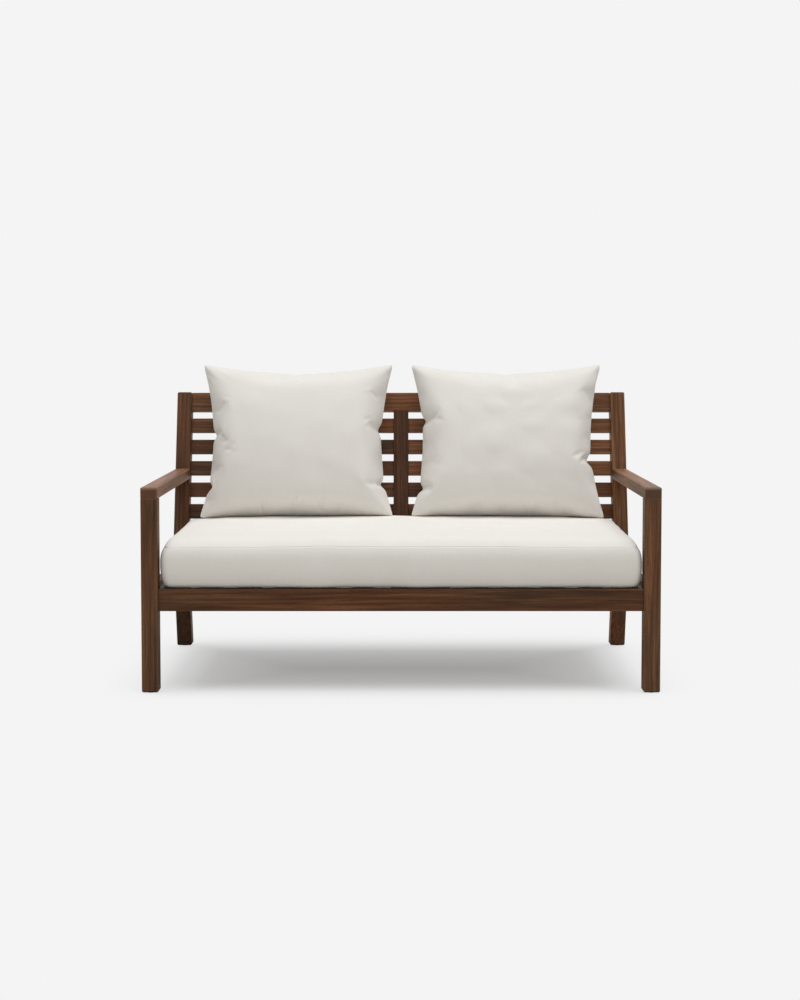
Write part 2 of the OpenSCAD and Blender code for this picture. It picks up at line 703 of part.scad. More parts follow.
function under_ring(turn) =
    let (inset = cushion_under_r * (1 - sin(turn)), rise = cushion_under_r * (1 - cos(turn)))
    [for (p = ring(inset)) let (q = shaped(p, 0, 0)) [q[0], q[1], cushion_z + rise]];

function top_ring(share) =
    let (inset = share * seam_half_y)
    [for (p = ring(inset)) let (q = shaped(p, 0, 1))
        [q[0], q[1], seam_height(p[0] / seam_half_x) + crown_rise(inset)]];

cushion_rings = concat(
    [for (share = under_shares) under_ring(share * quarter_turn)],
    [for (k = [0:len(boxing_shares) - 1]) boxing_ring(boxing_shares[k], swell_shares[k])],
    [for (share = top_shares) top_ring(share)]
);

// A closed skin over rings of points, with a point at the middle of each end ring
module skin(rings, first, last) {
    n = len(rings[0]);
    m = len(rings);
    points = concat([for (r = rings) each r], [first, last]);
    sides_of = [for (j = [0:m - 2], k = [0:n - 1])
        let (a = j * n + k, b = j * n + (k + 1) % n)
        each [[a, b + n, b], [a, a + n, b + n]]];
    ends = [for (k = [0:n - 1])
        let (b = (k + 1) % n, top = (m - 1) * n)
        each [[k, b, m * n], [top + b, top + k, m * n + 1]]];
    polyhedron(points = points, faces = concat(sides_of, ends), convexity = 4);
}

module seat_cushion() color(cloth) placed()
    skin(cushion_rings, [0, cushion_mid_y, cushion_z], [0, cushion_mid_y, cushion_top_z]);

// Zip in the rear panel

zip_z = frame_h + zip_rise;
zip_y = cushion_back_y + hole_gap / 2;

module cushion_zip() color(cloth) placed() union() {
    translate([-zip_l / 2, zip_y, zip_z - zip_tape_w / 2]) cube([zip_l, zip_tape_t, zip_tape_w]);
    translate([-zip_l / 2, zip_y, zip_z - zip_coil_w / 2])
        bar_x(zip_l, zip_tape_t + zip_coil_t, zip_coil_w, zip_tape_t / 2);
}

module zip_slider() color(steel) placed()
    translate([-zip_l / 2, zip_y + zip_tape_t + zip_coil_t + rest_gap, zip_z]) {
        rotate([-90, 0, 0]) linear_extrude(slider_t)
            translate([zip_coil_w, -slider_w / 2]) rounded(slider_l, slider_w, slider_w / 4);
        translate([zip_coil_w + slider_l / 4, slider_t, -zip_coil_w / 4])
            bar_x(slider_l / 2, slider_t / 2, zip_coil_w / 2, slider_t / 8);
    }

// Back pillows

// A pillow's point at u across and v up, from -1 to 1, before it is laid on the seat and the back
function pillow_point(u, v, face) =
    let (half = pillow_w / 2 - pillow_side_in * (1 - v * v),
        dip = v > 0 ? pillow_top_in * v * (1 - u * u) : 0,
        low = v - belly_drop_share * (v * v - 1),
        full = pow((1 - pow(abs(u), pillow_power)) * (1 - pow(abs(low), pillow_power)), pillow_full_power),
        t = face > 0 ? -pillow_front_t : pillow_back_t)
    [u * half, pillow_v + t * full, pillow_bottom_s + (v + 1) * pillow_h / 2 - dip];

// The same in the bench's depths and heights, and never lower than the seat cushion's top
function pillow_place(x, q) =
    let (p = [x + q[0], frame_d + q[2] * sin(rake) + q[1] * cos(rake),
        bend_z + q[2] * cos(rake) - q[1] * sin(rake)])
    [p[0], p[1], max(p[2], seat_top(p[0], p[1]) + pillow_clear)];

module pillow(x) {
    n = pillow_grid;
    step = function(i) sin(90 * (2 * i / n - 1));
    inside = [for (j = [1:n - 1], i = [1:n - 1]) [i, j]];
    front = [for (j = [0:n], i = [0:n]) pillow_place(x, pillow_point(step(i), step(j), 1))];
    rear = [for (c = inside) pillow_place(x, pillow_point(step(c[0]), step(c[1]), -1))];
    on_front = function(i, j) j * (n + 1) + i;
    on_rear = function(i, j) (i == 0 || j == 0 || i == n || j == n)
        ? on_front(i, j) : (n + 1) * (n + 1) + (j - 1) * (n - 1) + i - 1;
    // Each cell is halved from the corner nearest to the pillow's own, so that none lies flat in a seam
    halves = function(at, i, j) (i < n / 2) == (j < n / 2)
        ? [[at(i, j), at(i, j + 1), at(i + 1, j + 1)], [at(i, j), at(i + 1, j + 1), at(i + 1, j)]]
        : [[at(i, j), at(i, j + 1), at(i + 1, j)], [at(i + 1, j), at(i, j + 1), at(i + 1, j + 1)]];
    turned = function(f) [f[0], f[2], f[1]];
    faces = [for (j = [0:n - 1], i = [0:n - 1])
        each concat(halves(on_front, i, j), [for (f = halves(on_rear, i, j)) turned(f)])];
    polyhedron(points = concat(front, rear), faces = faces, convexity = 4);
}

module pillow_left() color(cloth) placed() pillow(pillow_shift - pillow_x);
module pillow_right() color(cloth) placed() pillow(pillow_shift + pillow_x);

// Drawing

for (side = sides) {
    front_leg(side);
    rear_leg(side);
    armrest(side);
    side_rail(side);
    for (i = back_rows)
        back_slat(side, i);
}
front_apron();
rear_apron();
top_back_rail();
lower_back_rail();
back_stile();
ledger(false);  // front_ledger
ledger(true);  // rear_ledger
middle_stretcher();
corner_blocks();
for (i = seat_rows)
    seat_slat(i);
leg_glides();
frame_bolts();
barrel_nuts();
slat_screws();
ledger_screws();
seat_cushion();
cushion_zip();
zip_slider();
pillow_left();
pillow_right();
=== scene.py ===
"""Looks of a two-seat wooden patio bench with a loose box cushion and two loose back pillows.

The script follows the bench as it is put together. Lengths are in metres, with X along the
bench, Y from front to back and Z up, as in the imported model.
"""

import math

import bpy
import numpy as np
from mathutils import Matrix, Vector


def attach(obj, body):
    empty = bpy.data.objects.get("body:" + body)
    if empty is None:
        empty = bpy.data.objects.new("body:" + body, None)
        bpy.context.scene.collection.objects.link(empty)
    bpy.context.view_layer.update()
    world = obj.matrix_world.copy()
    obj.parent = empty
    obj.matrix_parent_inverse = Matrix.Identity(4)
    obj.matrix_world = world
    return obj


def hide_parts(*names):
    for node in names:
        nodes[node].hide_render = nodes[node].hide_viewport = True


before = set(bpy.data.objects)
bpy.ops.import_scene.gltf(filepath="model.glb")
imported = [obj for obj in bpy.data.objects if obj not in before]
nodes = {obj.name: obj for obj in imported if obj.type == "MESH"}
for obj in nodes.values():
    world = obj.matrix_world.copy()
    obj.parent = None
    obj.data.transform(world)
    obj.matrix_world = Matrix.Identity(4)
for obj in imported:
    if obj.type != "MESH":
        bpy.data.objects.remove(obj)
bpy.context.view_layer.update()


# Legs
# Four legs of stained plantation hardwood. The front ones are straight sticks, and each rear one
# is sawn in one piece with a bend, so that its upper part is the back's post. Each is planed,
# eased along its edges, stained dark brown and oiled.

ACROSS, BACKWARD, UP = Vector((1, 0, 0)), Vector((0, 1, 0)), Vector((0, 0, 1))
RAKE = math.radians(14)
SLOPE = Vector((0, math.sin(RAKE), math.cos(RAKE)))

# Each figure of the wood: its size across the grain and its stretch along the grain
WANDER, BROAD, STREAKS = (0.11, (9, 1, 1)), (0.09, (7, 1, 1)), (0.010, (24, 1, 1))
THREADS, PORES = (0.0028, (40, 1, 1)), (0.0011, (22, 1, 1))
# How far the grain wanders, how the rings run along it, and where the pith lies beside the board
WANDER_BY, RINGS_RUN, PITH = (0, 0.03, 0.03), (0.05, 1, 1), (0, 0.021, 0.047)
# From each board to the next, how far on in the plank it is cut
NEXT_BOARD = (3.7, 0.61, 0.43)

BLACK, WHITE = (0, 0, 0), (1, 1, 1)
# The stained wood from its darkest tone to its palest
STAIN = ((0.52, (0.048, 0.0195, 0.0079)), (0.68, (0.084, 0.037, 0.0158)),
         (0.80, (0.124, 0.057, 0.0250)), (0.96, (0.190, 0.096, 0.0465)))
REDDER, PORE_BROWN = (1.16, 0.94, 0.82, 1), (0.022, 0.009, 0.004, 1)
RUBBED_BROWN = (0.25, 0.135, 0.065, 1)
PORES_SHOW, RUBBED_SHOWS = 0.55, 0.20
# End grain shows little of the figure, at one tone, and drinks more stain than a face does
END_BLUR, END_TONE, END_DARKER = 0.75, 0.69, 0.40
# A half size that puts every edge out of reach, for pieces that aren't one straight board
NO_EDGE = 9.0


def connect(tree, node, sockets):
    """Gives a node's inputs their numbers, colours or other nodes' outputs."""
    for name, value in dict(sockets).items():
        if isinstance(value, bpy.types.NodeSocket):
            tree.links.new(value, node.inputs[name])
        else:
            node.inputs[name].default_value = value


def add(tree, kind, sockets=(), **settings):
    """A new node in a material or group, with its settings and its inputs."""
    node = tree.nodes.new(kind)
    for name, value in settings.items():
        setattr(node, name, value)
    connect(tree, node, sockets)
    return node


def new_material(name):
    """A new material with its tree of nodes and its shader."""
    material = bpy.data.materials.new(name)
    material.use_nodes = True
    return material, material.node_tree, material.node_tree.nodes["Principled BSDF"]


def reckon(tree, sum_kind, *terms):
    """The result of a sum on numbers."""
    return add(tree, "ShaderNodeMath", enumerate(terms), operation=sum_kind).outputs[0]


def reckon_places(tree, sum_kind, *terms):
    """The result of a sum on places or colours, part by part."""
    return add(tree, "ShaderNodeVectorMath", enumerate(terms), operation=sum_kind).outputs[0]


def parts_of(tree, place):
    """The three numbers of a place."""
    return add(tree, "ShaderNodeSeparateXYZ", {"Vector": place}).outputs


def summed(tree, base, *greys):
    """A base plus several greys, each times its own weight."""
    for grey, weight in greys:
        base = reckon(tree, "MULTIPLY_ADD", grey, weight, base)
    return base


def specks(tree, place, size, stretch=(1, 1, 1), detail=2.0, output="Fac"):
    """Soft noise from 0 to 1 whose spots are about size metres across, times stretch."""
    squeezed = reckon_places(tree, "DIVIDE", place, stretch)
    noise = {"Vector": squeezed, "Scale": 1 / size, "Detail": detail}
    return add(tree, "ShaderNodeTexNoise", noise).outputs[output]


def toned(tree, share, *stops):
    """A colour or grey that runs through stops of (share, colour) as share grows."""
    ramp = add(tree, "ShaderNodeValToRGB", {"Fac": share})
    while len(ramp.color_ramp.elements) < len(stops):
        ramp.color_ramp.elements.new(0.5)
    for element, (at, colour) in zip(ramp.color_ramp.elements, stops):
        element.position, element.color = at, (*colour, 1)
    return ramp.outputs["Color"]


def blended(tree, share, first, second, way="MIX"):
    """Colour first, turned towards second by share."""
    return add(tree, "ShaderNodeMix", {0: share, 6: first, 7: second},
               data_type="RGBA", blend_type=way).outputs[2]


def facing(tree, way):
    """How squarely the surface faces a way: 1 towards it, 0 along it and -1 from it."""
    normal = add(tree, "ShaderNodeTexCoord").outputs["Normal"]
    dot = add(tree, "ShaderNodeVectorMath", {0: normal, 1: way}, operation="DOT_PRODUCT")
    return dot.outputs["Value"]


def bumps(tree, height, strength, depth):
    """The surface's normal where a grey raises it by up to depth metres."""
    bump = {"Strength": strength, "Distance": depth, "Height": height}
    return add(tree, "ShaderNodeBump", bump).outputs["Normal"]


def stained_hardwood():
    """The wood itself, solid through the board: rings round a pith beside the board, long
    streaks and short pores along the grain, and stain rubbed thin on the edges."""
    tree = bpy.data.node_groups.new("stained hardwood", "ShaderNodeTree")
    for way, kinds in (
        ("INPUT", {"Place": "Vector", "Half size": "Vector", "Board": "Float",
                   "Shade": "Float", "End grain": "Float"}),
        ("OUTPUT", {"Colour": "Color", "Roughness": "Float", "Height": "Float"}),
    ):
        for name, kind in kinds.items():
            tree.interface.new_socket(name, in_out=way, socket_type="NodeSocket" + kind)
    given = add(tree, "NodeGroupInput").outputs
    place = reckon_places(tree, "MULTIPLY_ADD", given["Board"], NEXT_BOARD, given["Place"])
    wander = specks(tree, place, *WANDER, detail=1.0, output="Color")
    grain = reckon_places(tree, "MULTIPLY_ADD", wander, WANDER_BY, place)
    rings = add(tree, "ShaderNodeTexWave", {
        "Vector": reckon_places(tree, "MULTIPLY_ADD", grain, RINGS_RUN, PITH),
        "Scale": 30.0, "Distortion": 5.0, "Detail": 2.0, "Detail Scale": 2.0,
        "Detail Roughness": 0.6,
    }, wave_type="RINGS", rings_direction="X", wave_profile="SIN").outputs["Fac"]
    streaks = specks(tree, grain, *STREAKS, detail=3.0)
    threads = specks(tree, grain, *THREADS, detail=2.0)
    broad = specks(tree, grain, *BROAD, detail=1.0)
    pores = toned(tree, specks(tree, grain, *PORES, detail=1.0), (0.60, BLACK), (0.72, WHITE))

    tone = summed(tree, 0.0, (rings, 0.10), (streaks, 0.70), (threads, 0.36), (broad, 0.34))
    blur = reckon(tree, "MULTIPLY", given["End grain"], END_BLUR)
    tone = add(tree, "ShaderNodeMix", {0: blur, 2: tone, 3: END_TONE}).outputs[0]
    colour = toned(tree, tone, *STAIN)
    redness = toned(tree, broad, (0.42, BLACK), (0.62, WHITE))
    colour = blended(tree, redness, colour, blended(tree, 1.0, colour, REDDER, "MULTIPLY"))
    colour = blended(tree, reckon(tree, "MULTIPLY", pores, PORES_SHOW), colour, PORE_BROWN)

    # The gap to each pair of faces is zero on those faces, so the least sum of two gaps is the
    # distance to the nearest edge. Within 3 mm of it the stain is rubbed, and past 6 mm it isn't.
    gaps = parts_of(tree, reckon_places(
        tree, "SUBTRACT", given["Half size"], reckon_places(tree, "ABSOLUTE", given["Place"])))
    sums = [reckon(tree, "ADD", gaps[i], gaps[j]) for i, j in ((0, 1), (1, 2), (0, 2))]
    edge = reckon(tree, "MINIMUM", reckon(tree, "MINIMUM", sums[0], sums[1]), sums[2])
    edge = summed(tree, edge, (streaks, 0.004))
    centimetres = reckon(tree, "MULTIPLY", edge, 100.0)
    rubbed = toned(tree, centimetres, (0.28, WHITE), (0.62, BLACK))
    colour = blended(tree, reckon(tree, "MULTIPLY", rubbed, RUBBED_SHOWS), colour, RUBBED_BROWN)
    soaked = summed(tree, 1.0, (given["End grain"], -END_DARKER))
    colour = reckon_places(tree, "MULTIPLY", colour,
                           reckon(tree, "MULTIPLY", given["Shade"], soaked))
    add(tree, "NodeGroupOutput", {
        "Colour": colour,
        "Roughness": summed(tree, 0.40, (threads, 0.16), (pores, 0.15)),
        "Height": summed(tree, 0.0, (streaks, 0.5), (threads, 0.5), (pores, -0.8))})
    return tree


HARDWOOD = stained_hardwood()
boards_cut = 0


def finish_with(node, material):
    """Gives a CAD node this material in all its slots."""
    for place in nodes[node].material_slots:
        place.material = material


def stain(node, along, width, shade=1.0, worn=True, gloss=0.22, painted_top_shade=0.0):
    """Cuts this piece from a board of its own, with the grain running along it and its wide face
    across width, and oils it. covered is how much darker its upward faces are painted: painted
    shade that stands in for the shadow under the seat cushion."""
    global boards_cut
    boards_cut += 1
    turn = Matrix((along, width, along.cross(width))).transposed()
    corners = np.array([v.co for v in nodes[node].data.vertices]) @ np.array(turn)
    low, high = corners.min(0), corners.max(0)
    material, tree, shader = new_material("stained wood of " + node)
    place = add(tree, "ShaderNodeMapping", {
        "Vector": add(tree, "ShaderNodeTexCoord").outputs["Object"],
        "Location": turn @ Vector((low + high) / 2), "Rotation": turn.to_euler(),
    }, vector_type="TEXTURE").outputs["Vector"]
    # Painted shade: upward faces darker, for the shadow under the seat cushion
    if painted_top_shade:
        top = reckon(tree, "MAXIMUM", facing(tree, UP), 0.0)
        shade = summed(tree, shade, (top, -painted_top_shade * shade))
    wood = add(tree, "ShaderNodeGroup", {
        "Place": place, "Half size": (high - low) / 2 if worn else (NO_EDGE,) * 3,
        "Board": boards_cut, "Shade": shade,
        "End grain": reckon(tree, "ABSOLUTE", facing(tree, along)),
    }, node_tree=HARDWOOD).outputs
    connect(tree, shader, {
        "Base Color": wood["Colour"], "Roughness": wood["Roughness"], "Specular IOR Level": gloss,
        "Normal": bumps(tree, wood["Height"], strength=0.35, depth=0.0005)})
    finish_with(node, material)


# Painted light: the right legs, most of all the rear one, are paler for light from the right
for side, front_shade, rear_shade in (("left", 1.0, 0.93), ("right", 1.26, 1.84)):
    stain("front_leg_" + side, UP, ACROSS, front_shade)
    stain("rear_leg_" + side, SLOPE, ACROSS, rear_shade, worn=False)


# Arms
# A flat board on each side, as wide as the legs, rounded over at its front end. A tenon on the
# front leg holds it from below, and its own tenon goes into the rear leg.

for side, shade in (("left", 1.72), ("right", 1.6)):
    stain("armrest_" + side, BACKWARD, ACROSS, shade, gloss=0.34)


# Seat frame
# Two aprons and two side rails, set back from the faces of the legs. The side rails are glued in
# and the aprons are bolted, so that the bench packs flat. A stretcher, two ledgers and four glued
# corner blocks, of the same stained wood, stiffen it under the cushion.

# Painted shade on their upward faces, for the shadow under the seat cushion
for node in ("front_apron", "rear_apron", "front_ledger", "rear_ledger"):
    stain(node, ACROSS, UP, shade=0.86, gloss=0.18, painted_top_shade=0.8)
for node in ("side_rail_left", "side_rail_right", "middle_stretcher"):
    stain(node, BACKWARD, UP, shade=0.95, gloss=0.10, painted_top_shade=0.4)
stain("corner_blocks", ACROSS, UP, shade=0.9, worn=False)


# Seat slats
# Thirteen boards from front to back, screwed down on the ledgers with gaps that let rain through.
# They are cut from different planks, so each has its own grain and takes the stain differently.

SEAT_SLATS, DARKEST_SLAT, NEXT_SHADE, SLAT_SHADES = 13, 0.92, 0.05, 4
# A little painted shade on their upward faces, for the shadow under the seat cushion
for i in range(1, SEAT_SLATS + 1):
    shade = DARKEST_SLAT + NEXT_SHADE * (i % SLAT_SHADES)
    stain(f"seat_slat_{i}", BACKWARD, ACROSS, shade, gloss=0.10, painted_top_shade=0.25)


# Back
# Two rails and a middle stile, with five rows of slats between them whose tenons sit in the rear
# legs and the stile. The whole back leans at 14 degrees with the upper parts of the rear legs.

SLATS_LEFT, SLATS_RIGHT = (1.32, 0.74, 0.8, 0.88, 0.53), (1.5, 1.66, 1.57, 0.81, 0.8)
stain("top_back_rail", ACROSS, SLOPE, shade=1.4)
stain("lower_back_rail", ACROSS, SLOPE, shade=0.9)
stain("back_stile", SLOPE, ACROSS, shade=0.54)
for side, shades in (("left", SLATS_LEFT), ("right", SLATS_RIGHT)):
    for i, shade in enumerate(shades, 1):
        stain(f"back_slat_{side}_{i}", ACROSS, SLOPE, shade)


# Fixings
# Zinc-plated bolts with hexagon sockets, barrel nuts and countersunk wood screws. Under each foot
# is a turned glide of black nylon, pressed in, that keeps the end grain off a wet floor.

# Size of the faint patches in a plated or moulded surface
MOTTLE_SIZE = 0.004


def hard_finish(name, colour, metal, rough, mottle, grit):
    """A plated or moulded finish: mottle in patches, and fine grit in the bump and the gloss."""
    material, tree, shader = new_material(name)
    place = add(tree, "ShaderNodeTexCoord").outputs["Object"]
    patches = specks(tree, place, MOTTLE_SIZE, detail=4.0)
    grains = specks(tree, place, grit, detail=1.0)
    dark, pale = [tuple(c * k for c in colour) for k in (1 - mottle, 1 + mottle)]
    connect(tree, shader, {
        "Metallic": metal,
        "Base Color": toned(tree, patches, (0.35, dark), (0.65, pale)),
        "Roughness": summed(tree, rough, (grains, 0.2)),
        "Normal": bumps(tree, grains, strength=0.3, depth=0.0001)})
    return material


zinc = hard_finish(
    "zinc plate", (0.58, 0.59, 0.60), metal=1.0, rough=0.28, mottle=0.14, grit=0.0004)
for node in ("frame_bolts", "barrel_nuts", "slat_screws", "ledger_screws"):
    finish_with(node, zinc)
finish_with("leg_glides", hard_finish(
    "black nylon", (0.018, 0.017, 0.016), metal=0.0, rough=0.45, mottle=0.1, grit=0.0007))


# Seat cushion
# A box cushion of foam in a cover of plain woven off-white cloth: a top panel, a boxing strip
# round the sides and a bottom panel, joined by plain seams. The cover's panels are cut a little
# larger than the foam, and a cloth simulation blows them up over it.

# The top seam: its half length and depth, its height at the front corners, and how much it bows
# up to its middle and climbs to the rear
SEAM_HALF_X, SEAM_HALF_Y = 0.6652, 0.30698
SEAM_Z, SEAM_BOW, SEAM_CLIMB = 0.4065, 0.004, 0.015
CORNER_R = 0.026
CUSHION_MIDDLE_Y = -0.075992
CUSHION_BACK_Y = CUSHION_MIDDLE_Y + SEAM_HALF_Y
# The top panel: its height at the ends, its bow to the middle, and the widths over which it falls
# to its seams. Its rear corners, from a share of the half length on, have sunk.
TOP_Z, TOP_BOW, END_EDGE, FRONT_EDGE = 0.4305, 0.0035, 0.022, 0.044
TOP_SAG, SAG_FROM, SAG_OVER = 0.007, 0.68, 0.3
# The bottom panel: its height on the slats, and its lift at its seam and the width of that
CUSHION_UNDER_Z, UNDER_LIFT, UNDER_EDGE = 0.2934, 0.0006, 0.025
# The boxing swells out within a height below its seam, and its lower edge turns in within a
# height above the slats. The ends swell by more than the front, and turn in by less.
SWELL, SWELL_DROP, SWELL_POWER = 0.0095, 0.042, 2.5
UNDER_IN, UNDER_UP = 0.020, 0.062
END_SWELL, END_TURN = 1.13, 0.6
# How far the front is drawn in between its corners, on the foam and in the cut, and how much
# larger the cut is all over
FOAM_DRAW, CUT_DRAW, CUT_GROW = 0.005, 0.003, 1.012
# How far the cover may move off the foam
MOST_BLOWN = 0.003
# The groove under the top seam: how far the boxing's first row lies in, and the share of that
# by which it also lies lower. The power tells the four sides from the corners between them.
BOXING_IN, BOXING_DOWN, SIDE_POWER = 0.0010, 0.4, 12
# Keeps a sum from dividing nothing by nothing
TINY = 1e-9

# Slubs are thicker stretches of thread: how much they show, their thickness and their run
SLUB, SLUB_SIZE, SLUB_RUN = 0.05, 0.0022, 30
CLOTH_PATCH = 0.05
# The stiffness and damping of the cover's cloth in the simulation
FABRIC = {
    "quality": 5, "mass": 0.3, "tension_stiffness": 15, "compression_stiffness": 15,
    "shear_stiffness": 5, "bending_stiffness": 0.5, "tension_damping": 5, "compression_damping": 5}


def woven_cloth(name, colour, thread):
    """Plain weave laid out by the piece's own UV map, which is in metres. Warp and weft are sines
    across each other, so threads rise in a checkerboard, and some threads are thicker."""
    material, tree, shader = new_material(name)
    laid = add(tree, "ShaderNodeUVMap", uv_map="cloth").outputs["UV"]
    waves = reckon_places(tree, "MULTIPLY", laid, (math.pi / thread, math.pi / thread, 0))
    across, along, _ = parts_of(tree, waves)
    over = reckon(tree, "MULTIPLY", reckon(tree, "SINE", across), reckon(tree, "SINE", along))
    slubs = [specks(tree, laid, SLUB_SIZE, run) for run in ((SLUB_RUN, 1, 1), (1, SLUB_RUN, 1))]
    heather = reckon(tree, "ADD", *slubs)
    patches = specks(tree, laid, CLOTH_PATCH)
    # Heather comes to 1 on average and patches to a half, so the base keeps the mean tone at 1
    tone = summed(tree, 1 - 1.25 * SLUB, (over, 0.02), (heather, SLUB), (patches, SLUB / 2))
    raised = summed(tree, reckon(tree, "ABSOLUTE", over), (heather, 0.35))
    connect(tree, shader, {
        "Base Color": reckon_places(tree, "MULTIPLY", colour, tone),
        "Roughness": 0.92, "Specular IOR Level": 0.12, "Sheen Weight": 0.08,
        "Sheen Roughness": 0.5, "Normal": bumps(tree, raised, strength=0.25, depth=0.00022)})
    return material


cloth = woven_cloth("off-white woven cloth", (0.875, 0.85, 0.805), thread=0.0009)


def seam_height(a, b):
    """Height of the top seam: it bows up towards the cushion's middle and climbs to its rear."""
    return SEAM_Z + SEAM_BOW * (1 - a**2) + SEAM_CLIMB * (1 + b) / 2


def crown_height(a, b):
    """Height of the top panel. From each seam inwards it rises as a parabola, less steeply from
    the front, and then it is flat. The two rises p and q meet as pq / (p + q - pq). Its rear
    corners, where the pillows stand, have sunk by a product of two parabolas."""
    side_edge = np.where(b < 0, FRONT_EDGE, END_EDGE)
    p, q = [1 - (1 - np.clip((1 - abs(t)) * half / width, 0, 1))**2
            for t, half, width in ((a, SEAM_HALF_X, END_EDGE), (b, SEAM_HALF_Y, side_edge))]
    share = p * q / (p + q - p * q + TINY)
    seam = seam_height(a, b)
    sunk = TOP_SAG * np.clip((abs(a) - SAG_FROM) / SAG_OVER, 0, 1)**2 * ((1 + b) / 2)**2
    return seam + (TOP_Z + TOP_BOW * (1 - a**2) - sunk - seam) * share


def under_height(a, b):
    """Height of the bottom panel: flat on the slats, and lifted towards its seam by a parabola."""
    inset = np.minimum((1 - abs(a)) * SEAM_HALF_X, (1 - abs(b)) * SEAM_HALF_Y) / UNDER_EDGE
    return CUSHION_UNDER_Z + UNDER_LIFT * (1 - np.clip(inset, 0, 1))**2


def plan(a, b):
    """A round-cornered rectangle, for a and b from -1 to 1. In each corner the square patch is
    pressed into a quarter disc: c times the root of 1 - d squared / 2."""
    c, d = [np.clip(1 - (1 - abs(t)) * half / CORNER_R, 0, 1)
            for t, half in ((a, SEAM_HALF_X), (b, SEAM_HALF_Y))]
    x, y = [np.where(u > 0, half - CORNER_R * (1 - u * np.sqrt(1 - w**2 / 2)), abs(t) * half)
            for t, half, u, w in ((a, SEAM_HALF_X, c, d), (b, SEAM_HALF_Y, d, c))]
    return np.sign(a) * x, np.sign(b) * y


def drawn_in(x, y, draw, swell, under):
    """Draws the front in between its corners, swells the front and, a little more, the ends, and
    turns the lower edge in by under. The rear stays flat down to its lower edge."""
    a, b = x / SEAM_HALF_X, y / SEAM_HALF_Y
    front, rear = swell - under - draw * (1 - a**2), np.minimum(swell - under, 0)
    return (x + (END_SWELL * swell - END_TURN * under) * a * abs(a),
            y + np.where(b < 0, front, rear) * b * abs(b) + CUSHION_MIDDLE_Y)


def boxing_out(height, seam):
    """How far the boxing swells out below its seam, as a power of 2.5, and how far its lower edge
    turns in, as a quarter of an ellipse."""
    below = np.clip((seam - height) / SWELL_DROP, 0, 1)
    turn = np.clip(1 - (height - CUSHION_UNDER_Z - UNDER_LIFT) / UNDER_UP, 0, 1)
    return SWELL * (1 - (1 - below)**SWELL_POWER), UNDER_IN * (1 - np.sqrt(1 - turn**2))


def numbered(rows, columns, first=0):
    """A grid of point numbers that count up from first."""
    return first + np.arange(rows * columns).reshape(rows, columns)


def rim(grid):
    """The edge of a grid, once round: left to right, then up, back and down."""
    return np.concatenate([grid[0, :-1], grid[:-1, -1], grid[-1, :0:-1], grid[:0:-1, 0]])


def closed_round(grid):
    """A grid with its first column again as its last, so that it goes all round."""
    return np.concatenate([grid, grid[:, :1]], 1)


def quads(grid):
    """The faces between neighbouring points of a grid of point numbers."""
    return np.stack([grid[:-1, :-1], grid[:-1, 1:], grid[1:, 1:], grid[1:, :-1]], -1).reshape(-1, 4)


def between(grid, rows, columns):
    """A grid's points at broken row and column numbers, straight between its own points."""
    j = np.minimum(rows.astype(int), grid.shape[0] - 2)
    i = np.minimum(columns.astype(int), grid.shape[1] - 2)
    s, t = (rows - j)[..., None], (columns - i)[..., None]
    return ((grid[j, i] * (1 - t) + grid[j, i + 1] * t) * (1 - s)
            + (grid[j + 1, i] * (1 - t) + grid[j + 1, i + 1] * t) * s)


def with_seam_lines(count, close, near):
    """Line numbers 0 to count, with two more lines close to each end for the seams."""
    return np.concatenate([
        [0, close, near], np.arange(1, count), [count - near, count - close, count]])


def put_in_scene(name, data):
    """A new object at the origin."""
    thing = bpy.data.objects.new(name, data)
    bpy.context.scene.collection.objects.link(thing)
    return thing


def cloth_piece(name, points, panels, body, replaced):
    """A closed sewn piece. Each panel is a grid of point numbers with a place on the cloth, in
    metres, for each of its points."""
    mesh = bpy.data.meshes.new(name)
    faces = np.concatenate([quads(grid) for grid, _ in panels])
    firsts = np.cumsum([0] + [grid.size for grid, _ in panels])
    laid = np.concatenate([
        quads(numbered(*grid.shape, first)) for (grid, _), first in zip(panels, firsts)])
    places = np.concatenate([uv.reshape(-1, 2) for _, uv in panels])
    mesh.from_pydata(points.tolist(), [], faces.tolist())
    mesh.uv_layers.new(name="cloth").data.foreach_set("uv", places[laid.ravel()].ravel())
    mesh.polygons.foreach_set("use_smooth", np.ones(len(faces), bool))
    mesh.materials.append(cloth)
    piece = put_in_scene(name, mesh)
    smooth = piece.modifiers.new("smooth cloth", "SUBSURF")
    smooth.levels = smooth.render_levels = 1
    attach(piece, body)
    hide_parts(replaced)


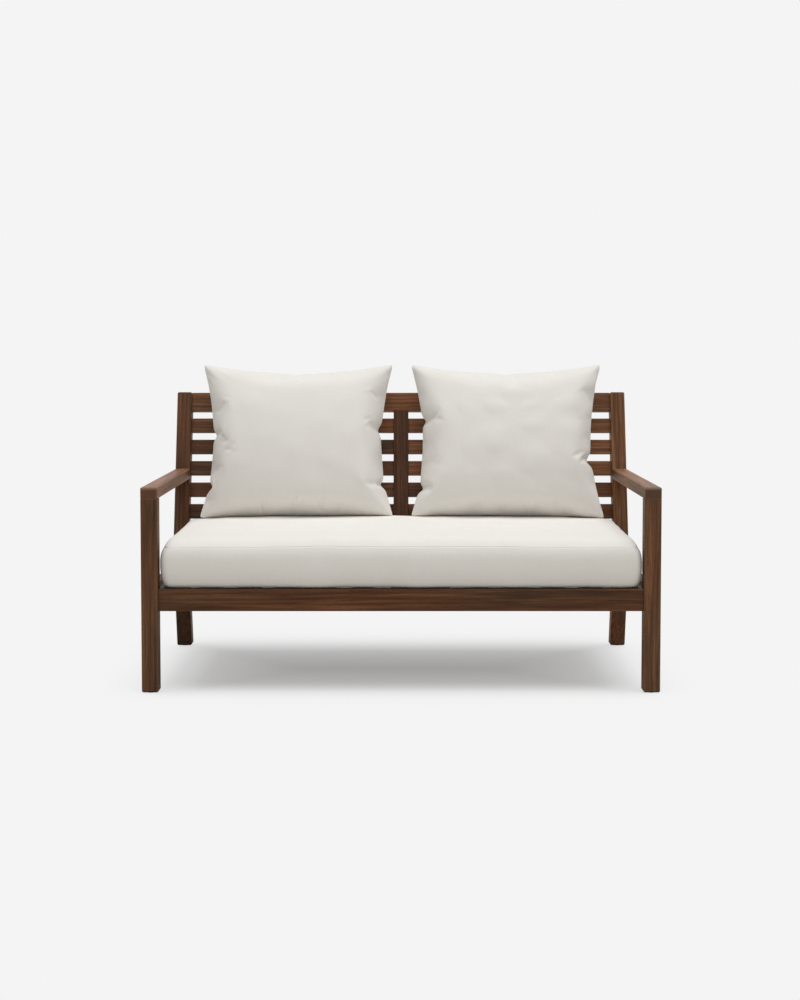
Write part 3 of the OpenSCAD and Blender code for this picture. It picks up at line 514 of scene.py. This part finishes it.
def blow_up(points, cut, faces, held, press, steps):
    """Blows a sewn cover up by simulation and gives its points after that many steps. cut holds
    the points of the cut panels, whose lengths the cloth keeps, and held lists how firmly which
    points stay where they are drawn."""
    mesh = bpy.data.meshes.new("cover")
    mesh.from_pydata(points.tolist(), [], faces.tolist())
    cover = put_in_scene("cover", mesh)
    cover.shape_key_add(name="Basis")
    panels = cover.shape_key_add(name="cut")
    panels.data.foreach_set("co", cut.ravel())
    panels.value = 0
    group = cover.vertex_groups.new(name="held")
    for firmness, numbers in held:
        group.add(np.unique(numbers).tolist(), firmness, "REPLACE")
    sewn = cover.modifiers.new("sewn cover", "CLOTH")
    for name, value in FABRIC.items():
        setattr(sewn.settings, name, value)
    sewn.settings.rest_shape_key, sewn.settings.vertex_group_mass = panels, "held"
    sewn.settings.effector_weights.gravity = 0
    sewn.settings.use_pressure, sewn.settings.uniform_pressure_force = True, press
    sewn.collision_settings.use_collision = False
    sewn.point_cache.frame_start, sewn.point_cache.frame_end = 1, steps
    for step in range(1, steps + 1):
        bpy.context.scene.frame_set(step)
    settled = cover.evaluated_get(bpy.context.evaluated_depsgraph_get()).to_mesh()
    blown = np.empty(points.size, np.float32)
    settled.vertices.foreach_get("co", blown)
    bpy.data.objects.remove(cover)
    bpy.data.meshes.remove(mesh)
    bpy.context.scene.frame_set(1)
    return blown.reshape(-1, 3).astype(float)


def capped(move, most):
    """Each point's move, kept under most by a smooth limit."""
    size = np.linalg.norm(move, axis=-1, keepdims=True) + TINY
    return move * most * np.tanh(size / most) / size


def unevenness(chance, points, most, longest, shortest, waves):
    """Smooth unevenness over a surface: a sum of cosine waves in random directions."""
    total = np.zeros(len(points))
    for _ in range(waves):
        way = chance.normal(0, 1, 3)
        way *= 2 * math.pi / chance.uniform(shortest, longest) / np.linalg.norm(way)
        total += np.cos(points @ way + chance.uniform(0, 2 * math.pi))
    return most * total / math.sqrt(waves / 2)


def run_along(points):
    """The way along a row of points to each of them."""
    return np.concatenate([[0], np.cumsum(np.linalg.norm(np.diff(points, axis=0), axis=1))])


# The panels' lines lie closer towards the seams, as a sine runs out
LONG, SHORT, CLOSING = 118, 56, 0.41 * math.pi
a, b = [np.sin(CLOSING * np.linspace(-1, 1, count + 1)) / math.sin(CLOSING)
        for count in (LONG, SHORT)]
A, B = np.meshgrid(a, b)
rim_a, rim_b = rim(A), rim(B)
# Heights of the rows down the boxing, from its seam at 1 to the bottom panel at 0
DOWN = np.array([
    0.96, 0.91, 0.85, 0.78, 0.70, 0.61, 0.52, 0.43, 0.35, 0.27, 0.19, 0.12, 0.06, 0.02])


def box_cover(grow, draw):
    """The cushion's three panels as arrays of points: the top panel, the rows of the boxing, and
    the bottom panel. The boxing is drawn in more the higher it is. grow is how much larger the
    cover is all over."""
    x, y = drawn_in(*plan(A, B), draw, swell=0, under=0)
    top = np.stack([x, y, crown_height(A, B)], -1)
    seam, low = seam_height(rim_a, rim_b), CUSHION_UNDER_Z + UNDER_LIFT
    rows = []
    for share in DOWN:
        z = low + (seam - low) * share
        x, y = drawn_in(*plan(rim_a, rim_b), draw * share, *boxing_out(z, seam))
        rows.append(np.stack([x, y, z], -1))
    x, y = drawn_in(*plan(A, B), draw=0, swell=SWELL, under=UNDER_IN)
    bottom = np.stack([x, y, under_height(A, B)], -1)
    middle = np.array([0, CUSHION_MIDDLE_Y, CUSHION_UNDER_Z])
    return [middle + (part - middle) * grow for part in (top, np.stack(rows), bottom)]


foam, cut = box_cover(1.0, FOAM_DRAW), box_cover(CUT_GROW, CUT_DRAW)
top_no = numbered(*A.shape)
boxing_no = numbered(len(DOWN), rim_a.size, A.size)
bottom_no = numbered(*A.shape, A.size + boxing_no.size)
strip_no = closed_round(np.concatenate([[rim(top_no)], boxing_no, [rim(bottom_no)]]))
cover_faces = np.concatenate([quads(top_no), quads(bottom_no)[:, ::-1], quads(strip_no)[:, ::-1]])
foam_points, cut_points = [
    np.concatenate([part.reshape(-1, 3) for part in parts]) for parts in (foam, cut)]
foam_points += unevenness(np.random.default_rng(11), foam_points, most=0.0006,
                          longest=0.3, shortest=0.1, waves=16)[:, None]
blown = blow_up(foam_points, cut_points, cover_faces, [
    (0.3, top_no), (0.3, boxing_no), (0.85, strip_no[0]), (0.9, strip_no[-4:]), (1.0, bottom_no),
], press=2.0, steps=12)
points = foam_points + capped(blown - foam_points, MOST_BLOWN)

# The foam holds the bottom flat on the slats and the rear panel flat behind the zip
points[bottom_no.ravel(), 2] = foam[2][..., 2].ravel()
points[:, 2] = np.maximum(points[:, 2], CUSHION_UNDER_Z)
points[:, 1] = np.minimum(points[:, 1], CUSHION_BACK_Y)

# Finer rows at the seams, so that each seam is narrow
rows, columns = [with_seam_lines(count, close=0.18, near=0.5) for count in (SHORT, LONG)]
top, bottom = [between(points[part], rows[:, None], columns) for part in (top_no, bottom_no)]
panel_laid = between(np.stack([A * SEAM_HALF_X, B * SEAM_HALF_Y], -1), rows[:, None], columns)
corners_at = np.cumsum([0, LONG, SHORT, LONG])
round_lines = np.concatenate([
    *[at + lines[:-1] for at, lines in zip(corners_at, (columns, rows, columns, rows))],
    [2 * (LONG + SHORT)]])
down_lines = with_seam_lines(len(DOWN) + 1, close=0.16, near=0.5)
strip = between(points[strip_no], down_lines[:, None], round_lines)
strip_laid = np.stack(np.meshgrid(run_along(strip[0]), -run_along(strip[:, LONG // 2])), -1)

# Away from the middle, square to each side and slanting round the corners
outward = (strip[0, :, :2] - (0, CUSHION_MIDDLE_Y)) / (SEAM_HALF_X, SEAM_HALF_Y)
outward = np.sign(outward) * np.clip(abs(outward), 0, 1)**SIDE_POWER
outward /= np.linalg.norm(outward, axis=1, keepdims=True)
strip[1] -= BOXING_IN * np.concatenate([outward, np.full((len(outward), 1), BOXING_DOWN)], 1)
final_top = numbered(*top.shape[:2])
final_strip = numbered(strip.shape[0] - 2, strip.shape[1] - 1, final_top.size)
final_bottom = numbered(*final_top.shape, final_top.size + final_strip.size)
all_points = np.concatenate([
    part.reshape(-1, 3) for part in (top, strip[1:-1, :-1], bottom)])
strip_grid = closed_round(np.concatenate([[rim(final_top)], final_strip, [rim(final_bottom)]]))
cloth_piece("seat_cushion_cover", all_points, [
    (final_top, panel_laid),
    (strip_grid[::-1], strip_laid[::-1]),
    (final_bottom[::-1], panel_laid[::-1]),
], body="seat_cushion", replaced="seat_cushion")


# Cushion zip
# A nylon coil zip in the rear panel. A woven tape lies on either side of two rows of teeth, and a
# die-cast slider without a pull tab runs along them. The tape is sewn down along its edges.

ZIP_HALF, ZIP_Z, TAPE_HALF, TAPE_T, TAPE_LINES = 0.530, 0.323, 0.013, 0.001, 213
# The gap behind the tape, half the slit between its sides, and the width of its woven edge
TAPE_GAP, TAPE_SLIT, TAPE_EDGE = 0.00014, 0.0002, 0.0003
TAPE_Y = CUSHION_BACK_Y + TAPE_GAP
# One row of teeth: the step from tooth to tooth, its width and half its thickness, how far from
# the slit it starts, the wire's radius, and the points in a turn and round the wire
COIL_PITCH, COIL_W, COIL_HALF_T, COIL_FROM, WIRE_R = 0.0022, 0.0019, 0.00068, 0.0005, 0.0003
TURN_POINTS, WIRE_SIDES = 8, 4


def tube_faces(rings):
    """The faces of a tube with a cap at each end, from the point numbers of its rings."""
    return quads(closed_round(rings)).tolist() + [rings[0].tolist(), rings[-1, ::-1].tolist()]


def tube_along(path, radius, around):
    """The points of a bent wire's skin: a ring round each point of the path, in the plane that
    its direction and the zip's length leave free."""
    ahead = np.gradient(path, axis=0)
    ahead /= np.linalg.norm(ahead, axis=1, keepdims=True)
    side = np.cross(ahead, (1.0, 0.0, 0.0))
    side /= np.linalg.norm(side, axis=1, keepdims=True)
    out = np.cross(side, ahead)
    turn = (np.arange(around) / around * 2 * math.pi)[None, :, None]
    return path[:, None] + radius * (np.cos(turn) * side[:, None] + np.sin(turn) * out[:, None])


def coil(hand):
    """One row of teeth: a spring of nylon wire wound flat. Across the tape it runs as a cosine
    and through it as a sine, one turn for each tooth."""
    turns = round(2 * ZIP_HALF / COIL_PITCH)
    t = np.linspace(0, turns, turns * TURN_POINTS + 1)
    return np.stack([
        ZIP_HALF * (2 * t / turns - 1),
        TAPE_Y + TAPE_T + WIRE_R + COIL_HALF_T * (1 + np.sin(2 * math.pi * t)),
        ZIP_Z + hand * (COIL_FROM + COIL_W * (1 - np.cos(2 * math.pi * t)) / 2),
    ], -1)


# The tape's section, up its back and down its face, which is thinner at its edges and its slit
half_z = np.array([TAPE_SLIT, TAPE_HALF - TAPE_EDGE, TAPE_HALF])
tape_z = ZIP_Z + np.concatenate([-half_z[::-1], [0.0], half_z])
tape_face = TAPE_Y + TAPE_T * np.array([0.7, 1, 1, 0.75, 1, 1, 0.7])
outline = np.stack([np.concatenate([np.full(len(tape_z), TAPE_Y), tape_face]),
                    np.concatenate([tape_z, tape_z[::-1]])], -1)
tape = np.empty((TAPE_LINES, len(outline), 3))
tape[..., 0], tape[..., 1:] = np.linspace(-ZIP_HALF, ZIP_HALF, TAPE_LINES)[:, None], outline
tubes = [tape] + [tube_along(coil(hand), WIRE_R, WIRE_SIDES) for hand in (-1, 1)]
zip_faces, first = [], 0
for tube in tubes:
    zip_faces.append(tube_faces(numbered(*tube.shape[:2], first)))
    first += tube[..., 0].size
tape_faces, zip_faces = len(zip_faces[0]), sum(zip_faces, [])
zip_points = np.concatenate([tube.reshape(-1, 3) for tube in tubes])
toothed = np.arange(len(zip_faces)) >= tape_faces
mesh = bpy.data.meshes.new("zip_tape_and_teeth")
mesh.from_pydata(zip_points.tolist(), [], zip_faces)
laid = zip_points[np.concatenate(zip_faces)][:, [0, 2]]
mesh.uv_layers.new(name="cloth").data.foreach_set("uv", laid.ravel())
mesh.materials.append(woven_cloth("zip tape", (0.76, 0.74, 0.69), thread=0.0006))
mesh.materials.append(hard_finish(
    "pale nylon teeth", (0.70, 0.68, 0.63), metal=0.0, rough=0.35, mottle=0.05, grit=0.0005))
mesh.polygons.foreach_set("material_index", toothed.astype(np.int32))
mesh.polygons.foreach_set("use_smooth", toothed)
zip_row = put_in_scene("zip_tape_and_teeth", mesh)
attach(zip_row, "seat_cushion")
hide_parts("cushion_zip")
finish_with("zip_slider", hard_finish(
    "die-cast zip metal", (0.46, 0.45, 0.43), metal=1.0, rough=0.33, mottle=0.12, grit=0.0005))


# Back pillows
# Two loose pillows, each of two panels of the same cloth with one seam all round, drawn out to a
# point at each corner and stuffed with fibre. They stand on the seat cushion, lean on the slats
# and crease where their sides are pinched.

PILLOW_W, PILLOW_H, FRONT_THICK, BACK_THICK = 0.608, 0.497, 0.070, 0.040
# The panels as cut, which lie flat with a little air between them
CUT_W, CUT_H, CUT_AIR = 0.625, 0.525, 0.0005
# How far the sides draw in, the top edge dips, and the corners' very tips are rounded off
SIDE_DRAW, TOP_DIP, TIP = 0.021, 0.015, 0.004
# How square the filling is, how full it is towards the seams, and how far its fullest place sinks
SQUARENESS, FULLNESS, FULL_LOW = 2.4, 0.7, 0.18
# A pinch in the middle of the top edge: its place, depth and width
TOP_PINCH_AT, TOP_PINCH, TOP_PINCH_W = -0.02, 0.0015, 0.04
# For each pillow its middle, its random seed, the pinches of its sides (side, place up it, depth,
# width) and the places of the small tucks along its bottom seam
PILLOWS = {
    "left": (-0.3305, 3, ((-1, 0.07, 0.006, 0.06), (-1, -0.60, 0.007, 0.06),
                          (1, 0.14, 0.006, 0.07), (1, -0.56, 0.007, 0.06)), (-0.34, -0.02, 0.26)),
    "right": (0.3375, 5, ((-1, 0.25, 0.006, 0.06), (-1, -0.61, 0.007, 0.06),
                          (1, -0.25, 0.008, 0.08)), (0.29, 0.48)),
}
# The blown-up front: how much thicker it is drawn, how much less up it and more at its sides
THICKER, LESS_UP, MORE_ASIDE = 1.20, 0.12, 0.18
# The tucks: depth and width, how much they slant from their foot on, and their middle and half
# length up the panel
TUCK, TUCK_W, TUCK_SLANT, TUCK_FOOT, TUCK_AT, TUCK_L = 0.0100, 0.015, 0.12, -0.9, -0.84, 0.09
# The share of its thickness that each of the first lines inside the seam keeps
SEAM_KEEPS = {1: 0.35, 2: 0.75}

# The bend of the rear legs, from which s runs up the slope and v through it. The pillows' bottom
# seam and middle there, and the slats' and top rail's faces, with the rail's ends up the slope.
BEND_Y, BEND_Z = 0.225028, 0.311386
PILLOW_BOTTOM_S, PILLOW_V = 0.10608, -0.0483
SLATS_V, RAIL_FORWARD = 0.0134, 0.006
RAIL_FROM, RAIL_TO, RAIL_EASE_UP, RAIL_EASE_DOWN = 0.445, 0.575, 0.015, 0.045
# The gap that stays above the seat cushion, and how softly each limit sets in
SEAT_GAP, SEAT_SOFT, BACK_SOFT = 0.0012, 0.0015, 0.002

ACROSS_N, UP_N = 100, 84
U, V = np.meshgrid(np.linspace(-1, 1, ACROSS_N + 1), np.linspace(-1, 1, UP_N + 1))


def pillow_panel(thick, pinches):
    """One side of a pillow. Its half width draws in by 1 - v squared and its top edge dips by
    v (1 - u squared). Its thickness is (1 - u^2.4)(1 - w^2.4) to the power 0.7, where w is v
    raised by a parabola, and bell-shaped pinches press its edge inwards."""
    tip = TIP * abs(U * V)**30
    x = U * (PILLOW_W / 2 - SIDE_DRAW * (1 - V**2) - tip)
    z = V * (PILLOW_H / 2 - tip) - np.where(V > 0, TOP_DIP * V * (1 - U**2), 0)
    for side, at, deep, wide in pinches:
        x -= side * deep * np.exp(-((V - at) / wide)**2) * np.clip(side * U, 0, 1)**6
    z -= TOP_PINCH * np.exp(-((U - TOP_PINCH_AT) / TOP_PINCH_W)**2) * np.clip(V, 0, 1)**6
    w = V - FULL_LOW * (V**2 - 1)
    full = ((1 - abs(U)**SQUARENESS) * (1 - abs(w)**SQUARENESS))**FULLNESS
    return np.stack([x, thick * full, z], -1)


def cushion_top(x, y):
    """Height of the seat cushion's blown-up top panel at these places."""
    column = np.interp(x / SEAM_HALF_X, a, np.arange(LONG + 1))
    row = np.interp((y - CUSHION_MIDDLE_Y) / SEAM_HALF_Y, b, np.arange(SHORT + 1))
    return between(points[top_no], row, column)[..., 2]


def at_least(values, least, soft):
    """Values kept above least smoothly, as least + soft ln(1 + e^((value - least) / soft))."""
    return least + soft * np.logaddexp(0, (values - least) / soft)


def lean(pillow, middle_x):
    """Lays a pillow's own across, through and up on the raked back, and gives room where it
    presses on the slats, the top rail and the seat cushion, by smooth limits."""
    v = PILLOW_V + pillow[:, 1]
    s = PILLOW_BOTTOM_S + PILLOW_H / 2 + pillow[:, 2]
    rail = (np.clip((s - RAIL_FROM) / RAIL_EASE_UP, 0, 1)
            * np.clip((RAIL_TO - s) / RAIL_EASE_DOWN, 0, 1))
    v = -at_least(-v, RAIL_FORWARD * rail - SLATS_V, BACK_SOFT)
    y = BEND_Y + s * math.sin(RAKE) + v * math.cos(RAKE)
    z = BEND_Z + s * math.cos(RAKE) - v * math.sin(RAKE)
    x = middle_x + pillow[:, 0]
    z = at_least(z, cushion_top(x, y) + SEAT_GAP, SEAT_SOFT)
    return np.stack([x, y, z], -1)


def two_sided(rows, columns):
    """Point numbers of a front and a back panel that share the points of their edge."""
    front = numbered(rows, columns)
    back = front.copy()
    back[1:-1, 1:-1] = numbered(rows - 2, columns - 2, front.size)
    return front, back


front_no, back_no = two_sided(*U.shape)
pillow_faces = np.concatenate([quads(front_no), quads(back_no)[:, ::-1]])
inner = (abs(U) < 1) & (abs(V) < 1)
flat = np.stack([U * CUT_W / 2, CUT_AIR * (1 - U**2) * (1 - V**2), V * CUT_H / 2], -1)
cut_points = np.concatenate([(flat * (1, -1, 1)).reshape(-1, 3), flat[inner]])

# Finer lines at the seam, where the two panels close up on each other
rows, columns = [with_seam_lines(count, close=0.08, near=0.3) for count in (UP_N, ACROSS_N)]
rows = rows[:, None]
laid = between(flat[..., [0, 2]], rows, columns)
front_grid, back_grid = two_sided(*laid.shape[:2])
j, i = np.indices(front_grid.shape)
lines_in = np.minimum(np.minimum(j, j[::-1]), np.minimum(i, i[:, ::-1]))
kept = np.ones(front_grid.shape)
for line, keeps in SEAM_KEEPS.items():
    kept[lines_in == line] = keeps

for side, (middle_x, seed, pinches, tucks) in PILLOWS.items():
    front, back = pillow_panel(-FRONT_THICK, pinches), pillow_panel(BACK_THICK, pinches)
    drawn = np.concatenate([front.reshape(-1, 3), back[inner]])
    drawn[:, 1] += unevenness(np.random.default_rng(seed), drawn, most=0.002,
                              longest=0.2, shortest=0.07, waves=14)
    blown = blow_up(drawn, cut_points, pillow_faces, [(0.2, rim(front_no))], press=4.0, steps=15)
    size, middle = np.ptp(blown, axis=0), (blown.max(0) + blown.min(0)) / 2
    blown = (blown - middle * (1, 0, 1)) * (PILLOW_W / size[0], 1, PILLOW_H / size[2])
    # The filling sinks, so the front is fuller low down, and small tucks run up from the bottom
    blown[front_no, 1] *= THICKER * (1 - LESS_UP * V) * (1 + MORE_ASIDE * abs(U)**3)
    for at in tucks:
        across = (U - at - TUCK_SLANT * (V - TUCK_FOOT)) / TUCK_W
        blown[front_no, 1] += TUCK * np.exp(-across**2 - ((V - TUCK_AT) / TUCK_L)**2)
    leant = lean(blown, middle_x)
    front, back = [between(leant[part], rows, columns) for part in (front_no, back_no)]
    halfway = (front + back) / 2
    front, back = [halfway + (part - halfway) * kept[..., None] for part in (front, back)]
    cloth_piece("pillow_cover_" + side,
                np.concatenate([front.reshape(-1, 3), back[1:-1, 1:-1].reshape(-1, 3)]),
                [(front_grid, laid), (back_grid[:, ::-1], laid[:, ::-1])],
                body="pillow_" + side, replaced="pillow_" + side)


# Studio
# A pale floor and a backdrop of the same colour, a large soft lamp above and a little in front,
# and the camera where the photograph was taken.

BACKDROP = (0.905, 0.905, 0.905, 1)
FLOOR_LIT, FLOOR_SEEN, FLOOR_REACH = (0.69, 0.67, 0.62, 1), (0.925, 0.925, 0.925, 1), 20.0
# The middle and half size of the floor under the bench. For the camera the floor glows in the
# backdrop's colour: painted light that lightens the bench's shadow under it and fades it out
# beyond. Each stop is a distance from its edge and the glow's share.
UNDER_MIDDLE, UNDER_HALF = (0, -0.055, 0), (0.605, 0.315, 0)
PAINTED_SHADOW_FADE = ((-0.30, 0.33), (-0.17, 0.39), (-0.04, 0.46), (0.05, 0.63), (0.15, 0.85),
                 (0.28, 0.97), (0.45, 1.0))
RAMP_FROM = -0.4


def plain_floor():
    """A large matt floor that keeps the bench's soft shadow, lightened and faded out by a glow
    of painted light that only the camera sees.
    """
    material, tree, shader = new_material("studio floor")
    tree.nodes.remove(shader)
    seen = add(tree, "ShaderNodeLightPath").outputs["Is Camera Ray"]
    paint = add(tree, "ShaderNodeBsdfDiffuse", {
        "Color": blended(tree, seen, FLOOR_LIT, FLOOR_SEEN)}).outputs["BSDF"]
    # The glow in the backdrop's colour: painted light that only the camera sees on the floor
    backdrop = add(tree, "ShaderNodeEmission", {"Color": BACKDROP}).outputs["Emission"]
    away = reckon_places(tree, "ABSOLUTE", reckon_places(
        tree, "SUBTRACT", add(tree, "ShaderNodeTexCoord").outputs["Object"], UNDER_MIDDLE))
    away = reckon_places(tree, "SUBTRACT", away, UNDER_HALF)
    x, y, _ = parts_of(tree, away)
    outside = reckon_places(tree, "MAXIMUM", away, (0, 0, 0))
    gap = add(tree, "ShaderNodeVectorMath", {0: outside}, operation="LENGTH").outputs["Value"]
    inside = reckon(tree, "MINIMUM", reckon(tree, "MAXIMUM", x, y), 0.0)
    gap = reckon(tree, "ADD", gap, inside)
    # The share of painted glow over the lit floor, least under the bench
    share = toned(tree, reckon(tree, "SUBTRACT", gap, RAMP_FROM),
                  *[(at - RAMP_FROM, (grey,) * 3) for at, grey in PAINTED_SHADOW_FADE])
    cover = add(tree, "ShaderNodeMixShader", {
        0: reckon(tree, "MULTIPLY", seen, share), 1: paint, 2: backdrop})
    tree.links.new(cover.outputs["Shader"], tree.nodes["Material Output"].inputs["Surface"])
    mesh = bpy.data.meshes.new("studio_floor")
    far = FLOOR_REACH
    corners = [(-far, -far, 0), (far, -far, 0), (far, far, 0), (-far, far, 0)]
    mesh.from_pydata(corners, [], [(0, 1, 2, 3)])
    mesh.materials.append(material)
    put_in_scene("studio_floor", mesh)


plain_floor()
world = bpy.data.worlds.new("studio")
bpy.context.scene.world = world
world.use_nodes = True
tree = world.node_tree
rays = add(tree, "ShaderNodeLightPath").outputs
seen = reckon(tree, "MAXIMUM", rays["Is Camera Ray"],
              reckon(tree, "MAXIMUM", rays["Is Glossy Ray"], rays["Is Transmission Ray"]))
light = tree.nodes["Background"]
connect(tree, light, {"Color": (1, 1, 1, 1), "Strength": 0.30})
backdrop = add(tree, "ShaderNodeBackground", {"Color": BACKDROP, "Strength": 1.0})
choice = add(tree, "ShaderNodeMixShader", {
    0: seen, 1: light.outputs["Background"], 2: backdrop.outputs["Background"]})
tree.links.new(choice.outputs["Shader"], tree.nodes["World Output"].inputs["Surface"])

lamp = bpy.data.lights.new("large soft lamp", "SUN")
lamp.energy, lamp.angle = 2.2, math.radians(48)
put_in_scene("large_soft_lamp", lamp).rotation_euler = (math.radians(9), math.radians(4.5), 0)

lens = bpy.data.cameras.new("camera")
lens.lens, lens.sensor_width = 56.57, 36
lens.shift_x, lens.shift_y = -0.001, -0.07
camera = put_in_scene("camera", lens)
camera.location = (0, -4.7465, 0.9654)
camera.rotation_euler = (math.radians(87), 0, 0)
bpy.context.scene.camera = camera
bpy.context.scene.view_settings.view_transform = "Standard"
